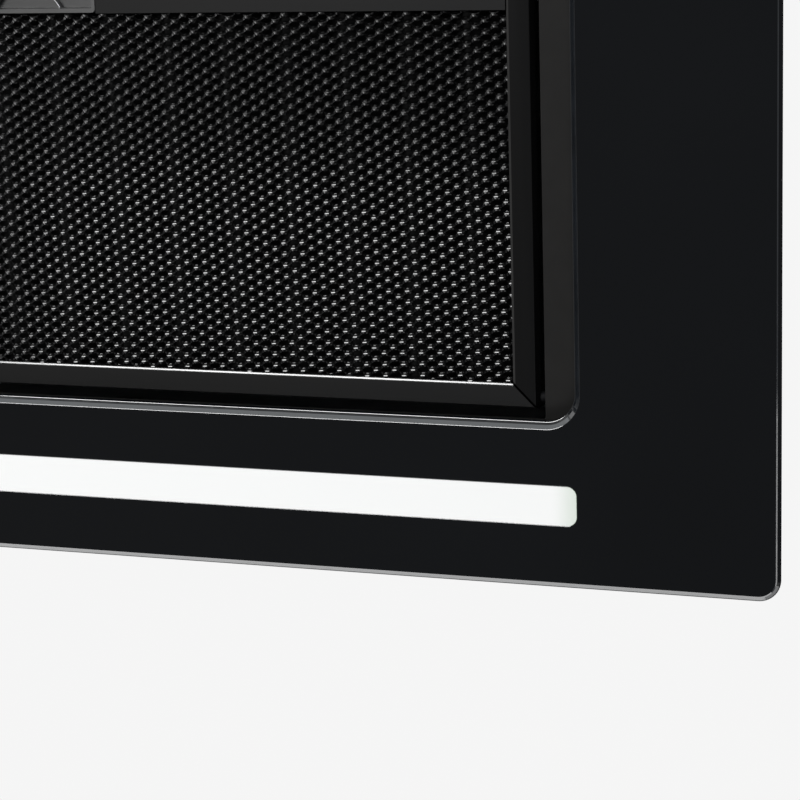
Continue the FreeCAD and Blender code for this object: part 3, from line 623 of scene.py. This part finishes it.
def expanded_mesh(name, area, z_face, side, scale, material):
    """Raised strands round lens-shaped openings over an area; side is +1 for a face that looks down."""
    x0, x1, y0, y1 = area
    rings = cell_rings()
    count = len(rings[0])
    spin = Matrix.Rotation(MESH_TURN, 2)
    verts = []
    faces = {}
    found = {}

    def vertex(place, z):
        x = min(max(place.x, x0), x1)
        y = min(max(place.y, y0), y1)
        key = tuple(round(v * MERGE_STEPS) for v in (x, y, z))
        if key not in found:
            found[key] = len(verts)
            verts.append((x, y, z))
        return found[key]

    def add_face(corners):
        unique = tuple(dict.fromkeys(corners))
        if len(unique) > 2:
            faces[unique if side > 0 else unique[::-1]] = True

    long_step, row_step = MESH_LONG * scale, MESH_ROW * scale
    rows = int((y1 - y0) / row_step) + 12
    columns = int((x1 - x0) / long_step) + 4
    for row in range(-rows, rows + 1):
        for column in range(-columns, columns + 1):
            flat = Vector(((column + 0.5 * (row % 2) + 0.5) * long_step, row * row_step))
            centre = spin @ flat
            inside_x = x0 - long_step < centre.x < x1 + long_step
            inside_y = y0 - row_step < centre.y < y1 + row_step
            if not (inside_x and inside_y):
                continue
            loops = []
            for ring in rings:
                loops.append([
                    vertex(centre + spin @ (place * scale), z_face + side * depth) for place, depth in ring
                ])
            for a, b in zip(loops, loops[1:]):
                for i in range(count):
                    j = (i + 1) % count
                    add_face((a[j], a[i], b[i], b[j]))
    mesh = mesh_from(name, verts, list(faces), [material], False)
    bm = bmesh.new()
    bm.from_mesh(mesh)
    thin = [f for f in bm.faces if f.calc_area() < THIN_AREA]
    bmesh.ops.delete(bm, geom=thin, context="FACES")
    bm.to_mesh(mesh)
    bm.free()
    return mesh


MESH_PROUD = 0.5 * MM
INNER_SCALE = 2.0
MESH_TUCK = 0.2 * MM
mesh_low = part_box("filter_mesh_outer")[0]
rail_in_x = frame_w / 2 - rail_w
rail_in_y = frame_d / 2 - rail_w
mesh_area = (-rail_in_x - MESH_TUCK, rail_in_x + MESH_TUCK, mesh_low.y, rail_in_y + MESH_TUCK)
for name, z_face, side, scale in (
    ("outer", mesh_low.z - MESH_PROUD, 1, 1.0),
    ("inner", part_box("filter_mesh_inner")[1].z + MESH_PROUD, -1, INNER_SCALE),
):
    made = expanded_mesh("mesh_" + name, mesh_area, z_face, side, scale, looks["gloss_black_mesh"])
    add_piece("mesh_" + name, made, "filter", "gloss_black_mesh", "filter_mesh_" + name)


# Sheet-metal detail of the casing: lips, seams, beads and fasteners

LIP_T = 0.9 * MM
LIP_H = 12.0 * MM
SEAM_W = 16.0 * MM
SEAM_END = 3.0 * MM
LIP_BEVEL = 0.35 * MM
BEAD_W = 7.0 * MM
BEAD_H = 1.1 * MM
BEAD_INSET = 34.0 * MM
BEAD_CORNER = 14.0 * MM
BEAD_STEPS = 8
BEAD_END_SHARE = 0.35
BEAD_ROUND = 1.4
HEAD_STEPS = 20
LOBE = 0.42

case_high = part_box("casing_rear")[1]
HALF_W = case_high.x
HALF_D = case_high.y
TOP_Z = case_high.z

lid_low, lid_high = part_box("control_lid")
driver_low, driver_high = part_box("led_driver")
can_low, can_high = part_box("capacitor")
PANELS = {
    "front": lambda u, v, n: (u, -HALF_D - n, v),
    "rear": lambda u, v, n: (-u, HALF_D + n, v),
    "left": lambda u, v, n: (-HALF_W - n, -u, v),
    "right": lambda u, v, n: (HALF_W + n, u, v),
    "top": lambda u, v, n: (u, v, TOP_Z + n),
    "roof": lambda u, v, n: (u, v, driver_high.z - n),
    "lid": lambda u, v, n: (u, v, lid_low.z - n),
    "driver": lambda u, v, n: (u, v, driver_low.z - n),
    "can": lambda u, v, n: (u, v, can_low.z - n),
    "can_side": lambda u, v, n: (can_low.x - n, u, v),
    "can_end": lambda u, v, n: (u, can_high.y + n, v),
}


class Batch:
    """Points and faces of several small shapes that make one piece."""

    def __init__(self):
        self.verts = []
        self.faces = []

    def rings(self, rings, closed=True, cap=True):
        """Faces between successive rings of points, with the last ring filled."""
        start = len(self.verts)
        count = len(rings[0])
        for ring in rings:
            self.verts.extend(ring)
        spans = count if closed else count - 1
        for r in range(len(rings) - 1):
            for i in range(spans):
                a = start + r * count + i
                b = start + r * count + (i + 1) % count
                self.faces.append((a, b, b + count, a + count))
        if cap:
            self.faces.append(tuple(range(len(self.verts) - count, len(self.verts))))

    def piece(self, name, slot, body="hood", angle=32, stands_for=()):
        mesh = mesh_from(name, self.verts, self.faces, [looks[slot]])
        bm = bmesh.new()
        bm.from_mesh(mesh)
        bmesh.ops.recalc_face_normals(bm, faces=bm.faces)
        for edge in bm.edges:
            edge.smooth = not (len(edge.link_faces) == 2 and edge.calc_face_angle() > math.radians(angle))
        bm.to_mesh(mesh)
        bm.free()
        return add_piece(name, mesh, body, slot, *stands_for)


def lip(batch, panel, u0, u1, v0, v1, thick=LIP_T):
    """A folded sheet strip or raised field with softened edges on a panel."""
    place = PANELS[panel]
    rings = []
    for n, inset in ((0.0, 0.0), (thick - LIP_BEVEL, 0.0), (thick, LIP_BEVEL)):
        low_u, high_u = u0 + inset, u1 - inset
        low_v, high_v = v0 + inset, v1 - inset
        corners = ((low_u, low_v), (high_u, low_v), (high_u, high_v), (low_u, high_v))
        rings.append([place(u, v, n) for u, v in corners])
    batch.rings(rings)


def bead(batch, panel, path, closed):
    """A pressed stiffening bead along a path of (u, v) points."""
    place = PANELS[panel]
    rings = []
    for i, here in enumerate(path):
        before = Vector(path[i - 1] if closed or i else here)
        after = Vector(path[(i + 1) % len(path)] if closed or i < len(path) - 1 else here)
        way = (after - before).normalized()
        out = Vector((way.y, -way.x))
        end = 0.0 if not closed and i in (0, len(path) - 1) else 1.0
        ring = []
        for k in range(7):
            a = math.pi * k / 6
            share = BEAD_END_SHARE + (1 - BEAD_END_SHARE) * end
            spot = Vector(here) - out * (BEAD_W / 2) * math.cos(a) * share
            ring.append(place(spot.x, spot.y, BEAD_H * math.sin(a) ** BEAD_ROUND * end))
        rings.append(ring)
    if closed:
        rings.append(rings[0])
    batch.rings(rings, closed=False, cap=False)


def straight(u0, v0, u1, v1):
    """Points of a straight path between two (u, v) points."""
    shares = [i / BEAD_STEPS for i in range(BEAD_STEPS + 1)]
    return [(u0 + (u1 - u0) * s, v0 + (v1 - v0) * s) for s in shares]


def lathe(batch, centre, normal, profile, lobes=()):
    """Rings of a turned head; a lobed profile cuts its driver recess."""
    turn = Vector(normal).to_track_quat("Z", "Y").to_matrix()
    rings = []
    for i, (r, h) in enumerate(profile):
        ring = []
        for k in range(HEAD_STEPS):
            a = 2 * math.pi * k / HEAD_STEPS
            reach = r * (1 + LOBE * math.cos(4 * a)) if i in lobes else r
            ring.append(tuple(Vector(centre) + turn @ Vector((reach * math.cos(a), reach * math.sin(a), h))))
        rings.append(ring)
    batch.rings(rings)


def screw(batch, centre, normal, r, h):
    """Domed screw head with a four-lobed recess."""
    profile = (
        (r, 0.0), (r, 0.3 * h), (0.86 * r, 0.72 * h),
        (0.55 * r, 0.97 * h), (0.34 * r, h), (0.24 * r, 0.4 * h),
    )
    lathe(batch, centre, normal, profile, (4, 5))


def rivet(batch, centre, normal, r, h):
    """Blind rivet: a low dome with its broken mandrel in the middle."""
    profile = (
        (r, 0.0), (0.97 * r, 0.3 * h), (0.74 * r, 0.82 * h),
        (0.45 * r, h), (0.4 * r, 0.72 * h), (0.3 * r, 0.8 * h),
    )
    lathe(batch, centre, normal, profile)


SIDES = (("front", HALF_W), ("rear", HALF_W), ("left", HALF_D), ("right", HALF_D))
lips = Batch()
for panel, half in SIDES:
    lip(lips, panel, -half - LIP_T, half + LIP_T, TOP_Z - LIP_H, TOP_Z)
    if half == HALF_W:
        for sx in (-1, 1):
            edges = sorted((sx * half, sx * (half - SEAM_W)))
            lip(lips, panel, edges[0], edges[1], SEAM_END, TOP_Z - LIP_H)
lips.piece("casing_lips", "galvanised_sheet")

TOP_BEAD_IN = 16.0 * MM
TOP_BEAD_OUT = 24.0 * MM
beads = Batch()
for panel, half in SIDES:
    field_w, field_h = 2 * (half - BEAD_INSET), TOP_Z - 2 * BEAD_INSET
    loop = round_rect(field_w, field_h, BEAD_CORNER, 0.0, 0.0, TOP_Z / 2 - LIP_H / 4)
    bead(beads, panel, [(u, v) for u, v, _ in loop], True)
collar_low, collar_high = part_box("outlet_collar")
for sx, rows in ((-1, (-0.6, -0.2, 0.2, 0.6)), (1, (-0.6, -0.2, 0.6))):
    u0, u1 = sx * (collar_high.x + TOP_BEAD_IN), sx * (HALF_W - TOP_BEAD_OUT)
    for row in rows:
        bead(beads, "top", straight(u0, row * HALF_D, u1, row * HALF_D), False)
beads.piece("casing_beads", "galvanised_sheet", angle=60)

RIVET_R = 3.0 * MM
RIVET_H = 1.1 * MM
SCREW_R = 3.4 * MM
SCREW_H = 1.9 * MM
LOW_SCREW_H = 1.2 * MM
LIP_SCREW_STEP = 0.42 * HALF_W
SIDE_SCREW_STEP = 0.62 * HALF_D
rivets = Batch()
screws = Batch()
for panel, normal in (("front", (0, -1, 0)), ("rear", (0, 1, 0))):
    place = PANELS[panel]
    for sx in (-1, 1):
        for k in range(5):
            v = (TOP_Z - LIP_H) * (k + 0.5) / 5
            rivet(rivets, place(sx * (HALF_W - SEAM_W / 2), v, LIP_T), normal, RIVET_R, RIVET_H)
    for k in range(5):
        screw(screws, place((k - 2) * LIP_SCREW_STEP, TOP_Z - LIP_H / 2, LIP_T), normal, SCREW_R, SCREW_H)
for panel, normal in (("left", (-1, 0, 0)), ("right", (1, 0, 0))):
    for k in range(3):
        spot = PANELS[panel]((k - 1) * SIDE_SCREW_STEP, TOP_Z - LIP_H / 2, LIP_T)
        screw(screws, spot, normal, SCREW_R, LOW_SCREW_H)

PLATE_T = 2.0 * MM
PLATE_EDGE = 9.0 * MM
PLATE_SCREW_R = 4.0 * MM
PLATE_SCREW_H = 2.2 * MM
collar_mid = (collar_low + collar_high) / 2
reach = (collar_high.x - collar_low.x) / 2 - PLATE_EDGE
for sx in (-1, 1):
    for sy in (-1, 1):
        spot = (sx * reach, collar_mid.y + sy * reach, TOP_Z + PLATE_T)
        screw(screws, spot, (0, 0, 1), PLATE_SCREW_R, PLATE_SCREW_H)

BOX_SCREW_R = 2.8 * MM
BOX_SCREW_H = 1.6 * MM
BOX_SCREW_IN = 6.0 * MM
for x in (lid_low.x + BOX_SCREW_IN, lid_high.x - BOX_SCREW_IN):
    for y in (lid_low.y + BOX_SCREW_IN, lid_high.y - BOX_SCREW_IN):
        screw(screws, (x, y, lid_low.z), (0, 0, -1), BOX_SCREW_R, BOX_SCREW_H)

EAR_W = 22.0 * MM
EAR_L = 12.0 * MM
EAR_T = 1.6 * MM
DRIVER_END = 16.0 * MM
DRIVER_END_T = 1.4 * MM
DRIVER_RIB = 76.0 * MM
DRIVER_RIBS = 5
driver_mid = (driver_low.x + driver_high.x) / 2
mouldings = Batch()
for sy in (-1, 1):
    edges = sorted((sy * driver_high.y, sy * (driver_high.y + EAR_L)))
    lip(mouldings, "roof", driver_mid - EAR_W / 2, driver_mid + EAR_W / 2, edges[0], edges[1], EAR_T)
    spot = (driver_mid, sy * (driver_high.y + EAR_L / 2), driver_high.z - EAR_T)
    screw(screws, spot, (0, 0, -1), BOX_SCREW_R, BOX_SCREW_H)
    edges = sorted((sy * driver_high.y, sy * (driver_high.y - DRIVER_END)))
    lip(mouldings, "driver", driver_low.x, driver_high.x, edges[0], edges[1], DRIVER_END_T)
for k in range(DRIVER_RIBS):
    u = driver_low.x + (driver_high.x - driver_low.x) * (k + 1) / (DRIVER_RIBS + 1)
    bead(mouldings, "driver", straight(u, -DRIVER_RIB / 2, u, DRIVER_RIB / 2), False)

LID_FRAME_IN = 13.0 * MM
LID_FRAME_CORNER = 6.0 * MM
LOUVRE_LEN = 26.0 * MM
LOUVRE_STEP = 11.0 * MM
LOUVRE_OFF = 16.0 * MM
lid_mid = (lid_low + lid_high) / 2
frame_size = [lid_high[i] - lid_low[i] - 2 * LID_FRAME_IN for i in range(2)]
frame_loop = round_rect(*frame_size, LID_FRAME_CORNER, 0.0, lid_mid.x, lid_mid.y)
bead(mouldings, "lid", [(u, v) for u, v, _ in frame_loop], True)
for sx in (-1, 1):
    for k in range(7):
        v = lid_mid.y + (k - 3) * LOUVRE_STEP
        u = lid_mid.x + sx * LOUVRE_OFF
        bead(mouldings, "lid", straight(u - LOUVRE_LEN / 2, v, u + LOUVRE_LEN / 2, v), False)
mouldings.piece("box_mouldings", "box_plastic", angle=60)

STRAP_W = 12.0 * MM
STRAP_T = 1.0 * MM
STRAP_FOOT = 14.0 * MM
STRAP_SCREW_OFF = 7.5 * MM
STRAP_SCREW_R = 3.0 * MM
BLADE_OFF = 5.0 * MM
BLADE_T = 1.0 * MM
BLADE_W = 6.4 * MM
BLADE_LEN = 8.0 * MM
can_mid = (can_low + can_high) / 2
strap_y = (can_mid.y - STRAP_W / 2, can_mid.y + STRAP_W / 2)
straps = Batch()
lip(straps, "can", can_low.x - STRAP_T, can_high.x + STRAP_T, *strap_y, STRAP_T)
lip(straps, "can_side", *strap_y, can_low.z - STRAP_T, driver_high.z, STRAP_T)
lip(straps, "roof", can_low.x - STRAP_FOOT, can_low.x, *strap_y, STRAP_T)
spot = (can_low.x - STRAP_SCREW_OFF, can_mid.y, driver_high.z - STRAP_T)
screw(screws, spot, (0, 0, -1), STRAP_SCREW_R, BOX_SCREW_H)
for sx in (-1, 1):
    u = can_mid.x + sx * BLADE_OFF
    blade = (u - BLADE_T / 2, u + BLADE_T / 2, can_mid.z - BLADE_W / 2, can_mid.z + BLADE_W / 2)
    lip(straps, "can_end", *blade, BLADE_LEN)
straps.piece("capacitor_strap", "galvanised_sheet")

ARM_LEN = 68.0 * MM
ARM_ANGLES = (90, 210, 330)
ARM_SCREW_R = 4.2 * MM
ARM_SCREW_H = 2.2 * MM
bracket_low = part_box("motor_bracket")[0]
fan_axis = (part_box("motor_housing")[0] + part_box("motor_housing")[1]) / 2
for angle in ARM_ANGLES:
    a = math.radians(angle)
    spot = (bracket_low.x, fan_axis.y + ARM_LEN * math.cos(a), fan_axis.z + ARM_LEN * math.sin(a))
    screw(screws, spot, (-1, 0, 0), ARM_SCREW_R, ARM_SCREW_H)
rivets.piece("casing_rivets", "screw_steel")
screws.piece("casing_screws", "screw_steel")


# Latch spring: a bent strip with a round apex, shaped at rest; nothing here flattens it as the slider is
# pulled

SPRING_T = 0.4 * MM
SPRING_EDGE = 0.08 * MM
SPRING_FILLET = 4.0 * MM
spring_low, spring_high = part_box("latch_spring")
spring_half = spring_high.x - SPRING_T
spring_line = [(-spring_half, spring_high.y), (0.0, spring_low.y), (spring_half, spring_high.y)]
spring_path = filleted(spring_line, SPRING_FILLET, 12)
half_t = SPRING_T / 2
low_z, high_z = spring_low.z, spring_high.z
strip_section = [
    (SPRING_EDGE - half_t, low_z), (half_t - SPRING_EDGE, low_z), (half_t, low_z + SPRING_EDGE),
    (half_t, high_z - SPRING_EDGE), (half_t - SPRING_EDGE, high_z), (SPRING_EDGE - half_t, high_z),
    (-half_t, high_z - SPRING_EDGE), (-half_t, low_z + SPRING_EDGE),
]
strip_rings = []
for i, here in enumerate(spring_path):
    way = Vector(spring_path[min(i + 1, len(spring_path) - 1)]) - Vector(spring_path[max(i - 1, 0)])
    out = Vector((-way.y, way.x)).normalized()
    strip_rings.append([(here[0] + out.x * s, here[1] + out.y * s, z) for s, z in strip_section])
strip_spring = Batch()
strip_spring.rings(strip_rings)
strip_spring.faces.append(tuple(range(len(strip_rings[0])))[::-1])
spring_piece = strip_spring.piece("bent_spring", "spring_steel", "filter", 50, ("latch_spring",))
joint_rows = {row["name"]: row for row in frame["record"]["behaviour"]["joints"]}
travel = max(joint_rows["latch_slide"]["range_m"])
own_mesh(spring_piece)


# Softened edges of the moulded and folded parts that show as they are

MOULDED_ROUND = 0.35 * MM
FOLDED_ROUND = 0.2 * MM
WELD_REACH = 0.005 * MM
SOFT_ANGLE = math.radians(40)
MOULDED = (
    "outlet_collar", "cable_gland", "control_box", "control_lid", "motor_housing", "scroll_side_left",
    "scroll_side_right", "latch_housing", "latch_slider", "capacitor", "led_driver", "terminal_block",
)
FOLDED = ("casing_flange", "casing_top", "bottom_tray", "motor_bracket", "flap_front", "flap_rear")


def soften(name, width):
    """Weld the faces of a node together and round its sharp edges a little."""
    weld = nodes[name].modifiers.new("weld", "WELD")
    weld.merge_threshold = WELD_REACH
    bevel = nodes[name].modifiers.new("soft_edge", "BEVEL")
    bevel.width = width
    bevel.segments = 2
    bevel.limit_method = "ANGLE"
    bevel.angle_limit = SOFT_ANGLE


for name in MOULDED:
    soften(name, MOULDED_ROUND)
for name in FOLDED:
    soften(name, FOLDED_ROUND)


# Stage, light and camera

FLOOR_HALF = 9.0
FLOOR_LEVEL = -2.9
FLOOR_DULL = (0.72, 0.735, 0.755)
FLOOR_LIGHT_POOL = (0.98, 0.965, 0.945)
LIGHT_POOL_X = (-2.2, -0.2)
AMBIENT = (0.55, 0.55, 0.55, 1.0)
BACKDROP = (0.915, 0.915, 0.915, 1.0)


def stage_floor():
    """Wide pale floor far below the hood, paler towards the left: a painted pool of light, which the glass
    reflects.
    """
    corners = ((-1, -1), (1, -1), (1, 1), (-1, 1))
    verts = [(sx * FLOOR_HALF, sy * FLOOR_HALF, FLOOR_LEVEL) for sx, sy in corners]
    mesh = mesh_from("floor", verts, [(0, 1, 2, 3)], [], False)
    look = Look("floor", FLOOR_DULL, 0.7)
    split = look.node("ShaderNodeSeparateXYZ")
    look.link(look.coords, split.inputs["Vector"])
    # Painted pool of light: the floor's colour turns paler towards the left.
    left = look.spread(split.outputs["X"], 1.0, 0.0, *LIGHT_POOL_X)
    look.link(look.blend(left, FLOOR_DULL, FLOOR_LIGHT_POOL), look.shader.inputs["Base Color"])
    mesh.materials.append(look.mat)
    made = bpy.data.objects.new("floor", mesh)
    scene.collection.objects.link(made)


stage_floor()


def softbox(name, place, length, width, radiance, along=(1.0, 0.0, 0.0), colour=(1.0, 1.0, 1.0)):
    """An area lamp of a radiance that faces the hood, with its long side along a direction."""
    data = bpy.data.lights.new(name, "AREA")
    data.shape = "RECTANGLE"
    data.size = length
    data.size_y = width
    data.color = colour
    data.energy = radiance * math.pi * length * width
    back = Vector(place).normalized()
    side = (Vector(along) - back * back.dot(Vector(along))).normalized()
    lamp = bpy.data.objects.new(name, data)
    turned = Matrix((side, back.cross(side), back)).transposed().to_4x4()
    lamp.matrix_world = Matrix.Translation(place) @ turned
    lamp.visible_camera = False
    scene.collection.objects.link(lamp)


softbox("below_softbox", (-0.74, -0.75, -1.93), 0.8, 0.45, 32.0)
softbox("front_left_softbox", (-1.17, -1.59, -1.01), 2.5, 0.5, 2.3, (-0.56, 0.42, 0.27), (0.92, 0.97, 1.0))
softbox("left_softbox", (-1.9, -0.43, -0.38), 0.65, 0.8, 1.3, (-0.2, 0.9, 0.35))
softbox("high_front_softbox", (-0.74, -1.81, 1.01), 0.9, 0.4, 5.0)
softbox("top_softbox", (0.35, 0.45, 2.1), 1.4, 0.9, 3.2)
softbox("rear_softbox", (-0.13, 1.74, -1.35), 2.2, 0.6, 7.0)
softbox("corner_softbox", (1.2, 1.15, -1.65), 1.3, 0.4, 6.0, (0.3, -1.2, -0.5))
softbox("bend_softbox", (0.58, 1.24, -1.77), 1.0, 0.34, 3.0, (0.5, -0.72, -0.3))

world = bpy.data.worlds.new("studio")
scene.world = world
world.use_nodes = True
tree = world.node_tree
tree.nodes.clear()
path = tree.nodes.new("ShaderNodeLightPath")
seen_1 = tree.nodes.new("ShaderNodeMath")
seen_1.operation = "MAXIMUM"
tree.links.new(path.outputs["Is Camera Ray"], seen_1.inputs[0])
tree.links.new(path.outputs["Is Glossy Ray"], seen_1.inputs[1])
seen_2 = tree.nodes.new("ShaderNodeMath")
seen_2.operation = "MAXIMUM"
tree.links.new(seen_1.outputs[0], seen_2.inputs[0])
tree.links.new(path.outputs["Is Transmission Ray"], seen_2.inputs[1])
ambient = tree.nodes.new("ShaderNodeBackground")
ambient.inputs["Color"].default_value = AMBIENT
backdrop = tree.nodes.new("ShaderNodeBackground")
backdrop.inputs["Color"].default_value = BACKDROP
mix = tree.nodes.new("ShaderNodeMixShader")
tree.links.new(seen_2.outputs[0], mix.inputs["Fac"])
tree.links.new(ambient.outputs[0], mix.inputs[1])
tree.links.new(backdrop.outputs[0], mix.inputs[2])
out = tree.nodes.new("ShaderNodeOutputWorld")
tree.links.new(mix.outputs[0], out.inputs["Surface"])

CAMERA_PLACE = (0.440, -0.0984, -0.8197)
CAMERA_LENS = 112.7
CAMERA_RIGHT = (0.9413, 0.0283, 0.3364)
CAMERA_FORWARD = (-0.3347, 0.2081, 0.9191)
camera_data = bpy.data.cameras.new("photo_camera")
camera_data.sensor_width = 36.0
camera_data.lens = CAMERA_LENS
camera_data.clip_start = 0.01
camera_data.clip_end = 100.0
camera = bpy.data.objects.new("photo_camera", camera_data)
right = Vector(CAMERA_RIGHT).normalized()
forward = Vector(CAMERA_FORWARD).normalized()
up = right.cross(forward).normalized()
right = forward.cross(up)
turn = Matrix((right, up, -forward)).transposed().to_4x4()
camera.matrix_world = Matrix.Translation(CAMERA_PLACE) @ turn
scene.collection.objects.link(camera)
scene.camera = camera
